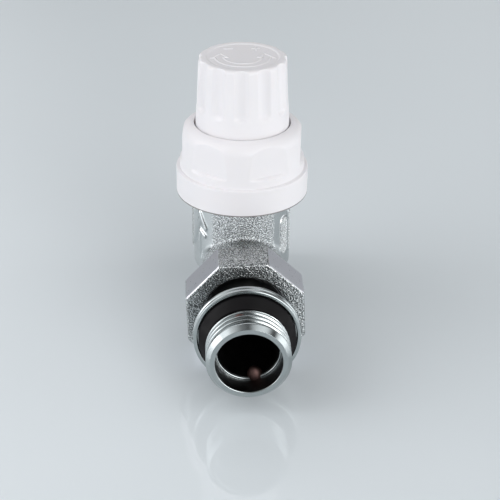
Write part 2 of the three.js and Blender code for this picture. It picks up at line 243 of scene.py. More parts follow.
def outline(corners, steps=5, spacing=1.0, closed=True):
    """Line of points through corners of (radius, height, rounding), with steps in each rounding."""
    places = [np.array(corner[:2], float) for corner in corners]
    count = len(corners)
    points = []
    for i, corner in enumerate(corners):
        here = places[i]
        if corner[2] == 0 or (not closed and i in (0, count - 1)):
            points.append(here)
            continue
        back = places[i - 1] - here
        ahead = places[(i + 1) % count] - here
        back_length, ahead_length = np.linalg.norm(back), np.linalg.norm(ahead)
        back, ahead = back / back_length, ahead / ahead_length
        half = math.acos(np.clip(back @ ahead, -1, 1)) / 2
        tangent = min(corner[2] / math.tan(half), 0.49 * back_length, 0.49 * ahead_length)
        for k in range(steps + 1):
            share = k / steps
            first = here + back * tangent * (1 - share)
            second = here + ahead * tangent * share
            points.append(first * (1 - share) + second * share)
    return spaced(np.array(points), spacing, closed)


def spaced(points, spacing, closed):
    """The same line of points with no stretch longer than spacing."""
    ends = np.vstack([points, points[:1]]) if closed else points
    dense = []
    for start, end in zip(ends[:-1], ends[1:]):
        pieces = max(1, math.ceil(np.linalg.norm(end - start) / spacing))
        dense += [start + (end - start) * k / pieces for k in range(pieces)]
    if not closed:
        dense.append(ends[-1])
    return np.array(dense)


def thread_wave(along, turn, pitch):
    """Height of a rounded vee thread, 0 in the root and 1 on the crest."""
    phase = (along / pitch - turn / (2 * math.pi)) % 1.0
    vee = 1 - np.abs(2 * phase - 1)
    return ramp(vee, 0.12, 0.88)


# ---------------------------------------------------------------- mesh helpers

def make_piece(name, verts, faces, body, nodes, materials, face_slots=None):
    """Links a mesh given in millimetres from the crossing, smooth-shaded, riding on its body.

    It takes the finish of a material slot and stands for the CAD nodes named in nodes.
    """
    mesh = bpy.data.meshes.new(name)
    placed = np.asarray(verts, float) * MM + np.array(CROSSING)
    mesh.from_pydata(placed.tolist(), [], [list(face) for face in faces])
    piece = bpy.data.objects.new(name, mesh)
    bpy.context.scene.collection.objects.link(piece)
    for material in materials:
        mesh.materials.append(material)
    if face_slots is not None:
        mesh.polygons.foreach_set("material_index", np.asarray(face_slots, np.int32))
    clean = bmesh.new()
    clean.from_mesh(mesh)
    bmesh.ops.remove_doubles(clean, verts=clean.verts, dist=0.002 * MM)
    bmesh.ops.dissolve_degenerate(clean, edges=clean.edges, dist=0.001 * MM)
    bmesh.ops.recalc_face_normals(clean, faces=clean.faces)
    clean.to_mesh(mesh)
    clean.free()
    mesh.shade_smooth()
    mesh.set_sharp_from_angle(angle=math.radians(50))
    weighted = piece.modifiers.new("weighted_normals", "WEIGHTED_NORMAL")
    weighted.keep_sharp = True
    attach(piece, body)
    if nodes:
        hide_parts(*nodes)
    return piece


def ring_grid(radius, height, turn):
    """Points round the stem axis from equal arrays of radius, height and turn."""
    return np.stack([radius * np.sin(turn), -radius * np.cos(turn), height], -1)


def along_pipe(points):
    """Turns points made round the stem axis to lie round the pipe axis, outlet forwards."""
    return np.stack([points[..., 0], -points[..., 2], points[..., 1]], -1)


def grid_faces(rows, columns, closed):
    """Quads of a grid that wraps round its columns, and round its rows too if closed."""
    faces = []
    for row in range(rows if closed else rows - 1):
        below = row * columns
        above = (row + 1) % rows * columns
        for column in range(columns):
            following = (column + 1) % columns
            faces.append((below + column, below + following, above + following, above + column))
    return faces


def turned_grid(profile, columns, reshape=None):
    """Grid of points from a profile of (radius, height); reshape may change radius and height."""
    turn = np.linspace(0, 2 * math.pi, columns, endpoint=False)[None, :]
    radius = np.repeat(profile[:, :1], columns, axis=1)
    height = np.repeat(profile[:, 1:2], columns, axis=1)
    if reshape:
        radius, height = reshape(radius, height, turn)
    return ring_grid(radius, height, np.broadcast_to(turn, radius.shape))


def turned_piece(name, profile, columns, body, nodes, materials,
                 reshape=None, closed=True, pipe=False):
    """A turned piece, round the stem axis or the pipe axis."""
    points = turned_grid(profile, columns, reshape)
    if pipe:
        points = along_pipe(points)
    faces = grid_faces(len(profile), columns, closed)
    return make_piece(name, points.reshape(-1, 3), faces, body, nodes, materials)


# ---------------------------------------------------------------- materials

def new_material(name, base, roughness, metallic=0.0):
    """A principled material, its node tree and its shader."""
    material = bpy.data.materials.new(name)
    material.use_nodes = True
    tree = material.node_tree
    shader = tree.nodes["Principled BSDF"]
    shader.inputs["Base Color"].default_value = (*base, 1)
    shader.inputs["Roughness"].default_value = roughness
    shader.inputs["Metallic"].default_value = metallic
    return material, tree, shader


def object_noise(tree, scale, detail=2.0, stretch=(1, 1, 1)):
    """Noise fixed to the object, with scale in features per metre."""
    place = tree.nodes.new("ShaderNodeTexCoord")
    mapping = tree.nodes.new("ShaderNodeMapping")
    mapping.inputs["Scale"].default_value = stretch
    texture = tree.nodes.new("ShaderNodeTexNoise")
    texture.inputs["Scale"].default_value = scale
    texture.inputs["Detail"].default_value = detail
    tree.links.new(place.outputs["Object"], mapping.inputs["Vector"])
    tree.links.new(mapping.outputs["Vector"], texture.inputs["Vector"])
    return texture.outputs["Fac"]


def map_range(tree, value, low, high, to_low, to_high, curve="LINEAR", clamp=True):
    """Value scaled from one range to another."""
    node = tree.nodes.new("ShaderNodeMapRange")
    node.interpolation_type = curve
    node.clamp = clamp
    node.inputs["From Min"].default_value = low
    node.inputs["From Max"].default_value = high
    node.inputs["To Min"].default_value = to_low
    node.inputs["To Max"].default_value = to_high
    tree.links.new(value, node.inputs["Value"])
    return node.outputs["Result"]


def mix_colors(tree, share, first, second):
    """Mix of two colours by a share; either may be the output of another node."""
    node = tree.nodes.new("ShaderNodeMix")
    node.data_type = "RGBA"
    for place, color in (("A", first), ("B", second)):
        if isinstance(color, tuple):
            node.inputs[place].default_value = (*color, 1)
        else:
            tree.links.new(color, node.inputs[place])
    tree.links.new(share, node.inputs["Factor"])
    return node.outputs["Result"]


def vary_color(tree, shader, share, first, second):
    """Base colour that wanders between two colours."""
    tree.links.new(mix_colors(tree, share, first, second), shader.inputs["Base Color"])


def vary_roughness(tree, shader, share, low, high):
    """Roughness that wanders between two values."""
    tree.links.new(map_range(tree, share, 0.3, 0.7, low, high), shader.inputs["Roughness"])


def add_bump(tree, shader, height, depth, strength=1.0, below=None):
    """Bump of depth metres on the shader, on top of an earlier one if given."""
    node = tree.nodes.new("ShaderNodeBump")
    node.inputs["Distance"].default_value = depth
    if isinstance(strength, float):
        node.inputs["Strength"].default_value = strength
    else:
        tree.links.new(strength, node.inputs["Strength"])
    tree.links.new(height, node.inputs["Height"])
    if below:
        tree.links.new(below, node.inputs["Normal"])
    tree.links.new(node.outputs["Normal"], shader.inputs["Normal"])
    return node.outputs["Normal"]


def cast_nickel(name, grains, depth, pits):
    """Nickel plate over cast brass, grainy except where dressed smooth, with a near-white painted highlight
    on the coarse raised bar.
    """
    material, tree, shader = new_material(name, (0.55, 0.58, 0.58), 0.2, 1.0)
    grain = object_noise(tree, grains, 2)
    patches = object_noise(tree, 160, 2)
    smooth_and_bar_highlight = tree.nodes.new("ShaderNodeAttribute")
    smooth_and_bar_highlight.attribute_name = "smooth_and_bar_highlight"
    bar_highlight = map_range(tree, smooth_and_bar_highlight.outputs["Fac"], 0, -1, 0, 1)
    dressed = map_range(tree, smooth_and_bar_highlight.outputs["Fac"], 0, 1, 0, 1)
    raised = map_range(tree, grain, 0.4, 0.6, 0, 1)
    pitted = mix_colors(tree, raised, pits, (0.75, 0.78, 0.785))
    plating = mix_colors(tree, patches, (0.50, 0.525, 0.53), (0.60, 0.63, 0.635))
    surface = mix_colors(tree, dressed, pitted, plating)
    # The near-white colour on the raised bar is a painted highlight.
    vary_color(tree, shader, bar_highlight, surface, (0.92, 0.94, 0.94))
    vary_roughness(tree, shader, grain, 0.12, 0.28)
    strength = map_range(tree, smooth_and_bar_highlight.outputs["Fac"], 0, 1, 1, 0.06, clamp=False)
    first = add_bump(tree, shader, grain, depth, strength)
    add_bump(tree, shader, object_noise(tree, 900, 2), 0.00014, strength, first)
    return material


def milled_nickel():
    """Nickel plate over milled brass: smooth, slightly satin."""
    material, tree, shader = new_material("milled_nickel", (0.74, 0.75, 0.80), 0.32, 1.0)
    lines = object_noise(tree, 900, 3, (1, 1, 6))
    vary_roughness(tree, shader, lines, 0.27, 0.38)
    vary_color(tree, shader, lines, (0.70, 0.71, 0.76), (0.77, 0.78, 0.83))
    add_bump(tree, shader, lines, 0.00001)
    return material


def turned_nickel():
    """Bright nickel plate over turned brass, with fine turning lines round the pipe axis."""
    material, tree, shader = new_material("turned_nickel", (0.46, 0.50, 0.50), 0.14, 1.0)
    lines = object_noise(tree, 5000, 2, (0.02, 1, 0.02))
    haze = object_noise(tree, 240, 3)
    vary_roughness(tree, shader, haze, 0.10, 0.22)
    vary_color(tree, shader, haze, (0.40, 0.435, 0.44), (0.46, 0.495, 0.495))
    add_bump(tree, shader, lines, 0.000006)
    return material


def shaded_bore_metal():
    """Insides of the bores and the tube between nut and flange: near-black painted shade where little light
    gets in, on dull, rough metal.
    """
    material, tree, shader = new_material("painted_shade_bore", (0.05, 0.05, 0.05), 0.4, 1.0)
    haze = object_noise(tree, 400, 3)
    vary_color(tree, shader, haze, (0.03, 0.03, 0.03), (0.08, 0.08, 0.08))
    vary_roughness(tree, shader, haze, 0.3, 0.5)
    add_bump(tree, shader, object_noise(tree, 2500, 2), 0.00002)
    return material


def plain_metal(name, dark, light, roughness):
    """A turned or drawn metal with slight colour and gloss variation."""
    material, tree, shader = new_material(name, light, roughness, 1.0)
    haze = object_noise(tree, 500, 3)
    lines = object_noise(tree, 3000, 2, (0.05, 0.05, 1))
    vary_color(tree, shader, haze, dark, light)
    vary_roughness(tree, shader, haze, roughness * 0.8, roughness * 1.2)
    add_bump(tree, shader, lines, 0.00001)
    return material


def black_rubber():
    """Matt black rubber with a faint bloom."""
    material, tree, shader = new_material("black_rubber", (0.003, 0.003, 0.003), 0.55)
    bloom = object_noise(tree, 300, 3)
    vary_color(tree, shader, bloom, (0.002, 0.002, 0.002), (0.005, 0.004, 0.005))
    vary_roughness(tree, shader, bloom, 0.45, 0.65)
    shader.inputs["Specular IOR Level"].default_value = 0.18
    add_bump(tree, shader, object_noise(tree, 4000, 2), 0.00002)
    return material


def moulded_plastic(name, dark, light, roughness):
    """Satin moulded plastic with a fine spark-eroded surface."""
    material, tree, shader = new_material(name, light, roughness)
    clouds = object_noise(tree, 60, 2)
    vary_color(tree, shader, clouds, dark, light)
    vary_roughness(tree, shader, clouds, roughness - 0.05, roughness + 0.05)
    shader.inputs["Subsurface Weight"].default_value = 0.15
    shader.inputs["Subsurface Radius"].default_value = (0.002, 0.0018, 0.0016)
    shader.inputs["Subsurface Scale"].default_value = 0.5
    add_bump(tree, shader, object_noise(tree, 3500, 3), 0.000012, 0.7)
    return material


MATERIALS = {
    "nickel_casting": cast_nickel("cast_nickel", 3000, 0.0004, (0.27, 0.285, 0.29)),
    "forged": cast_nickel("forged_nickel", 2900, 0.0002, (0.13, 0.14, 0.14)),
    "milled": milled_nickel(),
    "nickel_turned": turned_nickel(),
    # Near-black painted shade for the bores and the tube between nut and flange.
    "shaded_bore": shaded_bore_metal(),
    "brass": plain_metal("turned_brass", (0.62, 0.45, 0.20), (0.78, 0.62, 0.34), 0.25),
    "steel": plain_metal("bright_steel", (0.52, 0.53, 0.55), (0.66, 0.67, 0.69), 0.22),
    "seal_rubber": black_rubber(),
    "white_plastic": moulded_plastic("white_plastic", (0.865, 0.845, 0.86), (0.895, 0.875, 0.89), 0.38),
    # Dark grey plastic for the painted shadow band under the skirt.
    "shadow_band": moulded_plastic("painted_shadow_band", (0.20, 0.19, 0.18), (0.30, 0.29, 0.28), 0.5),
    "lug": plain_metal("dull_lug", (0.10, 0.06, 0.055), (0.18, 0.11, 0.10), 0.5),
    "grey_plastic": moulded_plastic("grey_plastic", (0.60, 0.61, 0.63), (0.68, 0.69, 0.71), 0.5),
}


# ---------------------------------------------------------------- the casting

def cylinder_distance(x, y, radius):
    """Distance outside a round bar."""
    return np.hypot(x, y) - radius


def slab_distance(value, low, high):
    """Distance outside the space between two parallel planes."""
    return np.maximum(low - value, value - high)


def relief(x, y, z):
    """Height of the marks cast on the sides of the barrel: plain arrow strokes and two bars."""
    side = np.arctan2(x, -y)
    across = (np.abs(side) - math.pi / 2) * BARREL_RADIUS
    up = z - MARK_MIDDLE
    left = side < 0

    def raised(distance):
        """Share of the full height at a distance from a mark's edge."""
        return ramp(-distance, -0.25, 0.4)

    def bar(centre, half_width, half_length):
        """An upright bar with round ends."""
        radius = np.hypot(across - centre, np.maximum(np.abs(up) - half_length + half_width, 0))
        return raised(radius - half_width)

    def stroke(from_across, from_up, to_across, to_up, half_width):
        """A straight line with round ends."""
        run, rise = to_across - from_across, to_up - from_up
        length = run * run + rise * rise
        share = np.clip(((across - from_across) * run + (up - from_up) * rise) / length, 0, 1)
        gap = np.hypot(across - from_across - share * run, up - from_up - share * rise)
        return raised(gap - half_width)

    bars = np.maximum(bar(-7.7, 1.7, 5.6), bar(-4.6, 0.6, 6.2))
    arrow = np.maximum.reduce([
        stroke(-6.9, 6.6, -9.3, 2.8, 0.8),
        stroke(-6.9, 4.6, -3.0, -3.8, 0.8),
        stroke(-7.2, 1.6, -9.2, 0.4, 0.55),
        stroke(-7.0, -7.0, -7.0, 0.6, 0.5),
    ])
    return MARK_HEIGHT * np.where(left, arrow, bars)


def octagon_distance(x, z, apothem):
    """Distance outside an octagon with a flat on each side, top and bottom."""
    folded = to_nearest(np.arctan2(z, x), 8)
    return np.hypot(x, z) * np.cos(folded) - apothem


def outer_distance(x, y, z):
    """Signed distance, near the surface, to the outside of the casting."""
    return np.minimum(casting_walls(x, y, z), union_thread(x, y, z))


def casting_walls(x, y, z):
    """Distance to the barrel, the run, the belly with its foot, and the socket, blended together."""
    barrel_wall = cylinder_distance(x, y, BARREL_RADIUS + relief(x, y, z))
    barrel = np.maximum(soft_max(barrel_wall, BARREL_BOTTOM - z, 1.6), z - BARREL_TOP)
    run = np.maximum(cylinder_distance(x, z, RUN_RADIUS), slab_distance(y, -RUN_FRONT, RUN_BACK))
    belly = soft_max(cylinder_distance(x, y, BELLY_RADIUS), slab_distance(z, BODY_BASE, 0), 6.5)
    socket_ends = slab_distance(y, SOCKET_START, INLET_REACH)
    socket = soft_max(octagon_distance(x, z, SOCKET_APOTHEM), socket_ends, 0.5)
    end_cone = cylinder_distance(x, z, SOCKET_APOTHEM + 0.55 + (INLET_REACH - y) * 0.9)
    neck_cone = cylinder_distance(x, z, RUN_RADIUS + (y - SOCKET_START + 1.8) * 0.9)
    socket = soft_max(soft_max(socket, end_cone, 0.3), neck_cone, 0.8)
    casting = soft_min(barrel, run, 1.0)
    casting = soft_min(casting, belly, 2.4)
    return soft_min(casting, socket, 1.6)


def union_thread(x, y, z):
    """Distance to the thread at the outlet, with a chamfered start."""
    wave = thread_wave(-y, np.arctan2(x, z), PIPE_PITCH)
    crest = UNION_THREAD_ROOT + (UNION_THREAD_CREST - UNION_THREAD_ROOT) * wave
    lead = UNION_THREAD_CREST - 0.9 + UNION_THREAD_END + y
    thread = np.maximum(cylinder_distance(x, z, crest), cylinder_distance(x, z, lead))
    return np.maximum(0.8 * thread, slab_distance(-y, UNION_THREAD_START, UNION_THREAD_END))


def inner_distance(x, y, z):
    """Signed distance to the bores and passages of the casting."""
    groove = SOCKET_THREAD_DEPTH * (1 - thread_wave(y, np.arctan2(x, z), PIPE_PITCH))
    chamber_ends = slab_distance(z, CHAMBER_BOTTOM, BONNET_SHELF + 0.5)
    lower_chamber_ends = slab_distance(z, LOWER_CHAMBER_BOTTOM, -1.5)
    bores = [
        np.maximum(cylinder_distance(x, y, BONNET_BORE), BONNET_SHELF - z),
        np.maximum(cylinder_distance(x, y, CHAMBER_RADIUS), chamber_ends),
        np.maximum(cylinder_distance(x, y, SEAT_BORE), slab_distance(z, -3, 3)),
        np.maximum(cylinder_distance(x, y, LOWER_CHAMBER_RADIUS), lower_chamber_ends),
        np.maximum(cylinder_distance(x, z + PASSAGE_OFFSET, PASSAGE_RADIUS), slab_distance(y, 3, 15)),
        np.maximum(cylinder_distance(x, z - PASSAGE_OFFSET, PASSAGE_RADIUS), slab_distance(-y, 5, 14.5)),
        np.maximum(cylinder_distance(x, z, OUTLET_BORE), slab_distance(-y, 13.2, 24)),
        np.maximum(cylinder_distance(x, z, UNION_BORE), UNION_BORE_START + y),
        np.maximum(cylinder_distance(x, z, SOCKET_BORE + groove), SOCKET_BOTTOM - y),
        cylinder_distance(x, z, SOCKET_BORE + SOCKET_CHAMFER - (INLET_REACH - y)),
    ]
    return np.minimum.reduce(bores)


def casting_distance(points):
    """Signed distance to the casting at rows of points."""
    x, y, z = points[..., 0], points[..., 1], points[..., 2]
    hollowed = soft_max(outer_distance(x, y, z), -inner_distance(x, y, z), 0.25)
    seat_wall = np.abs(cylinder_distance(x, y, SEAT_LIP_RADIUS)) - SEAT_LIP_HALF_WIDTH
    return np.minimum(hollowed, np.maximum(seat_wall, slab_distance(z, 0, SEAT_LIP_HEIGHT)))


def surface_net(distance, low, high, cell):
    """Vertices and quads of the zero surface of a distance function inside a box.

    Each cell that the surface crosses gets one vertex, at the mean of the crossings on its edges,
    and each grid edge that the surface crosses gets a quad of its four cells.
    """
    counts = np.ceil((np.array(high) - np.array(low)) / cell).astype(int) + 1
    axes = [low[i] + cell * np.arange(counts[i]) for i in range(3)]
    grid = np.stack(np.meshgrid(*axes, indexing="ij"), -1)
    values = np.concatenate([distance(layers) for layers in np.array_split(grid, 12)])
    inside = values < 0
    corners = [(i, j, k) for i in (0, 1) for j in (0, 1) for k in (0, 1)]
    cells = counts - 1

    def corner_view(array, corner):
        """The value that each cell has at one of its corners."""
        return array[tuple(slice(corner[i], corner[i] + cells[i]) for i in range(3))]

    total = np.zeros((*cells, 3))
    crossings = np.zeros(cells)
    for corner in corners:
        for axis in range(3):
            if corner[axis]:
                continue
            other = tuple(1 if i == axis else corner[i] for i in range(3))
            here, there = corner_view(values, corner), corner_view(values, other)
            crossed = corner_view(inside, corner) != corner_view(inside, other)
            share = np.where(crossed, here / np.where(crossed, here - there, 1), 0)
            for i in range(3):
                total[..., i] += crossed * (corner[i] + (share if i == axis else 0))
            crossings += crossed
    active = crossings > 0
    number = np.full(cells, -1)
    number[active] = np.arange(active.sum())
    base = np.stack(np.nonzero(active), -1)
    verts = np.array(low) + cell * (base + total[active] / crossings[active][:, None])
    quads = []
    for axis in range(3):
        first, second = (axis + 1) % 3, (axis + 2) % 3
        start = [slice(1, -1)] * 3
        start[axis] = slice(0, -1)
        stop = list(start)
        stop[axis] = slice(1, None)
        changes = inside[tuple(start)] != inside[tuple(stop)]
        place = np.stack(np.nonzero(changes), -1) + 1
        place[:, axis] -= 1
        steps = np.zeros((4, 3), int)
        steps[[1, 2], first] = -1
        steps[[2, 3], second] = -1
        around = place[:, None, :] + steps[None]
        quads.append(number[around[..., 0], around[..., 1], around[..., 2]])
    quads = np.concatenate(quads)
    return pulled_to_surface(distance, verts, cell), quads


def pulled_to_surface(distance, verts, cell):
    """Vertices moved onto the zero surface along its slope."""
    step = 0.02
    for _ in range(3):
        value = distance(verts)
        slope = np.stack([
            (distance(verts + step * axis) - distance(verts - step * axis)) / (2 * step)
            for axis in np.eye(3)
        ], -1)
        length = np.maximum((slope ** 2).sum(-1), 0.2)
        move = -(value / length)[:, None] * slope
        verts = verts + np.clip(move, -cell / 3, cell / 3)
    return verts


def build_body():
    """The casting, milled on its flat ends, dressed smooth on the barrel's sides and with a painted
    highlight on its raised bar.
    """
    low = np.array(BODY_LOW) - (0.5, 0.5, 0.5)
    high = np.array(BODY_HIGH) + (0.5, 0.5, 0.5)
    verts, quads = surface_net(casting_distance, low, high, CASTING_CELL)
    verts[:, 1] = np.clip(verts[:, 1], BODY_LOW.y, BODY_HIGH.y)
    verts[:, 2] = np.clip(verts[:, 2], BODY_LOW.z, BODY_HIGH.z)
    materials = [MATERIALS["nickel_casting"], MATERIALS["milled"]]
    centre = verts[quads].mean(1)
    flat_ends = (centre[:, 1] > INLET_REACH - 0.35) | (centre[:, 1] < -UNION_THREAD_START)
    body = make_piece("body_casting", verts, quads, "body", ["valve_body"],
                      materials, flat_ends.astype(int))
    places = np.empty(3 * len(body.data.vertices))
    body.data.vertices.foreach_get("co", places)
    x, y, z = ((places.reshape(-1, 3) - np.array(CROSSING)) / MM).T
    smooth = body.data.attributes.new("smooth_and_bar_highlight", "FLOAT", "POINT")
    smooth.data.foreach_set("value", dressed_sides_and_bar_highlight(x, y, z))


def dressed_sides_and_bar_highlight(x, y, z):
    """1 where the sides of the barrel are dressed smooth, 0 on sand grain, -1 on the coarse bar that gets a
    painted highlight.
    """
    side = np.abs(np.degrees(np.arctan2(x, -y)))
    dressed = ramp(side, 36, 42) * ramp(-side, -144, -138) * ramp(z, BARREL_BOTTOM - 2, BARREL_BOTTOM)
    on_barrel = ramp(-np.abs(np.hypot(x, y) - BARREL_RADIUS), -2, -1)
    # The raised bar is marked for its painted highlight and stronger grain.
    raised_bar = (x > 0) * ramp(relief(x, y, z), 0.25, 0.45)
    return dressed * on_barrel * (1 - 2 * raised_bar)


# ---------------------------------------------------------------- cap

def build_collar():
    """The white ring with its flats, shoulder and skirt, threaded inside."""
    centre = COLLAR_RADIUS - COLLAR_SHOULDER, COLLAR_TOP - COLLAR_SHOULDER
    shoulder = [
        (centre[0] + COLLAR_SHOULDER * math.cos(angle), centre[1] + COLLAR_SHOULDER * math.sin(angle), 0)
        for angle in np.linspace(0, math.radians(84), 16)[1:]
    ]
    corners = [
        (SKIRT_BORE, COLLAR_BOTTOM, 0.5),
        (SKIRT_RADIUS, COLLAR_BOTTOM, 0.12),
        (SKIRT_RADIUS, COLLAR_BOTTOM + SHADOW_BAND_HEIGHT, 0),
        (SKIRT_RADIUS, COLLAR_STEP + 0.1, 0.35),
        (RING_RADIUS, COLLAR_STEP + 0.25, 0.15),
        (RING_RADIUS, FLAT_LEDGE, 0),
        (COLLAR_RADIUS, COLLAR_TOP - COLLAR_SHOULDER, 0),
        *shoulder,
        (HOLE_RADIUS, COLLAR_TOP - 0.02, 0.2),
        (HOLE_RADIUS, HOLE_BOTTOM, 0.1),
        (KNOB_POCKET_RADIUS, HOLE_BOTTOM, 0.1),
        (KNOB_POCKET_RADIUS, KNOB_POCKET_BOTTOM, 0.1),
        (SKIRT_BORE, KNOB_POCKET_BOTTOM, 0.1),
    ]

    def reshape(radius, height, turn):
        """Cuts the flats outside and the thread inside."""
        flat = FLAT_REACH / np.cos(to_nearest(turn, FLAT_COUNT, FLAT_TURN))
        cut = soft_min(radius, flat, 0.07)
        above_ledge = ramp(height, FLAT_LEDGE - 0.08, FLAT_LEDGE + 0.12)
        radius = radius + (cut - radius) * above_ledge
        start = COLLAR_BOTTOM + 0.7
        in_thread = (radius < SKIRT_BORE + 0.15) & (height < COLLAR_THREAD_TOP) & (height > start)
        groove = 0.65 * (1 - thread_wave(height, turn, CAP_PITCH)) * ramp(height, start, start + 1.4)
        return radius + in_thread * groove * ramp(-height, -COLLAR_THREAD_TOP, 1 - COLLAR_THREAD_TOP), height

    points = turned_grid(outline(corners, 6, 0.3), COLLAR_COLUMNS, reshape)
    faces = grid_faces(points.shape[0], COLLAR_COLUMNS, True)
    centres = points.reshape(-1, 3)[np.array(faces)].mean(1)
    # The skirt's bottom edge gets a dark band: painted shadow where the skirt meets the barrel.
    shadow_band = centres[:, 2] < COLLAR_BOTTOM + SHADOW_BAND_HEIGHT
    shadow_band &= np.hypot(centres[:, 0], centres[:, 1]) > SKIRT_RADIUS - 1
    materials = [MATERIALS["white_plastic"], MATERIALS["shadow_band"]]
    make_piece("collar_shell", points.reshape(-1, 3), faces, "collar",
               ["collar"], materials, shadow_band.astype(int))


def top_marks(radius, turn):
    """Height of the marks on the knob's top: a curved arrow outline, a plus and a minus."""
    x, y = radius * np.sin(turn), -radius * np.cos(turn)

    def line(from_x, from_y, to_x, to_y):
        """Distance to a straight line."""
        ahead = np.array([to_x - from_x, to_y - from_y])
        share = np.clip(((x - from_x) * ahead[0] + (y - from_y) * ahead[1]) / (ahead @ ahead), 0, 1)
        return np.hypot(x - from_x - share * ahead[0], y - from_y - share * ahead[1])

    def at(reach, degrees):
        """Point at a distance from the middle and an angle."""
        return reach * math.sin(math.radians(degrees)), -reach * math.cos(math.radians(degrees))

    swing = np.abs(np.degrees(np.arctan2(np.sin(turn), np.cos(turn))))
    arcs = np.where(swing < 84, np.minimum(np.abs(radius - 7.2), np.abs(radius - 5.0)), 9.0)
    strokes = [arcs]
    for side in (-1, 1):
        tip = at(6.1, side * 112)
        outer_wing, outer_foot = at(8.3, side * 84), at(7.2, side * 84)
        inner_wing, inner_foot = at(3.9, side * 84), at(5.0, side * 84)
        strokes += [line(*tip, *outer_wing), line(*tip, *inner_wing)]
        strokes += [line(*outer_wing, *outer_foot), line(*inner_wing, *inner_foot)]
    strokes.append(line(-4.6, 5.9, -2.6, 5.9))
    strokes += [line(2.6, 5.9, 4.6, 5.9), line(3.6, 4.9, 3.6, 6.9)]
    return TOP_MARK_HEIGHT * ramp(-np.minimum.reduce(strokes), -0.28, -0.12)


def build_knob():
    """The fluted knob, open below, with a boss inside for the pusher and marks on its sunk top."""
    inner = [
        (0, 46, 0),
        (2.5, 46, 0.2),
        (2.5, 40.1, 0.2),
        (4, 40.1, 0.2),
        (4, 55.2, 0.5),
        (9.6, 55.2, 0.8),
        (10.9, 38, 0),
        (10.9, KNOB_BOTTOM, 0.2),
        (13.25, KNOB_BOTTOM, 0.2),
        (13.25, 37, 0.2),
        (KNOB_BASE_RADIUS + 0.1, 37.35, 0.1),
        (KNOB_BASE_RADIUS, COLLAR_TOP, 0),
        (KNOB_BASE_RADIUS - 0.02, COLLAR_TOP + 0.4, 0),
    ]
    inside = outline(inner, 4, 1.0, closed=False)
    outer = [
        (KNOB_BASE_RADIUS - 0.02, COLLAR_TOP + 0.4, 0),
        (KNOB_TOP_RADIUS, KNOB_TOP, 1.05),
        (9.4, KNOB_TOP, 0),
    ]
    outside = outline(outer, 8, 0.3, closed=False)
    rim = np.arange(9.3, 3.4, -0.13)
    top = np.array([(radius, KNOB_TOP) for radius in [*rim, 2.5, 1.5, 0.5, 0]])
    profile = np.vstack([inside[:-1], outside, top])
    outer_rows = (np.arange(len(profile)) >= len(inside) - 1)[:, None]

    def reshape(radius, height, turn):
        """Cuts the flutes, sinks the disc on top and raises its marks."""
        rise = (height - COLLAR_TOP) / (KNOB_TOP - COLLAR_TOP)
        wall = KNOB_BASE_RADIUS + (KNOB_TOP_RADIUS - KNOB_BASE_RADIUS) * rise
        centre = wall - FLUTE_DEPTH + FLUTE_RADIUS
        off = to_nearest(turn, FLUTES, FLUTE_PHASE)
        half_width = math.sqrt(FLUTE_RADIUS ** 2 - (FLUTE_RADIUS - FLUTE_DEPTH) ** 2)
        under = FLUTE_RUNOUT * np.maximum(FLUTE_BOTTOM + half_width / FLUTE_RUNOUT - height, 0)
        depth = np.sqrt(np.maximum(FLUTE_RADIUS ** 2 - (centre * np.sin(off)) ** 2 - under ** 2, 0))
        fluted = soft_min(radius, centre * np.cos(off) - depth, 0.2)
        radius = np.where(outer_rows & (radius > DISC_RADIUS), fluted, radius)
        on_top = outer_rows & (height > KNOB_TOP - 0.001)
        flat_radius = DISC_RADIUS - 0.6
        disc = DISC_DEPTH * ramp(-radius, -DISC_RADIUS, -flat_radius)
        marks = top_marks(radius, turn) * ramp(-radius, -flat_radius, 0.1 - flat_radius)
        return radius, height - on_top * (disc - marks)

    turned_piece("knob_shell", profile, KNOB_COLUMNS, "knob", ["knob"],
                 [MATERIALS["white_plastic"]], reshape, closed=False)


# ---------------------------------------------------------------- union and tailpiece

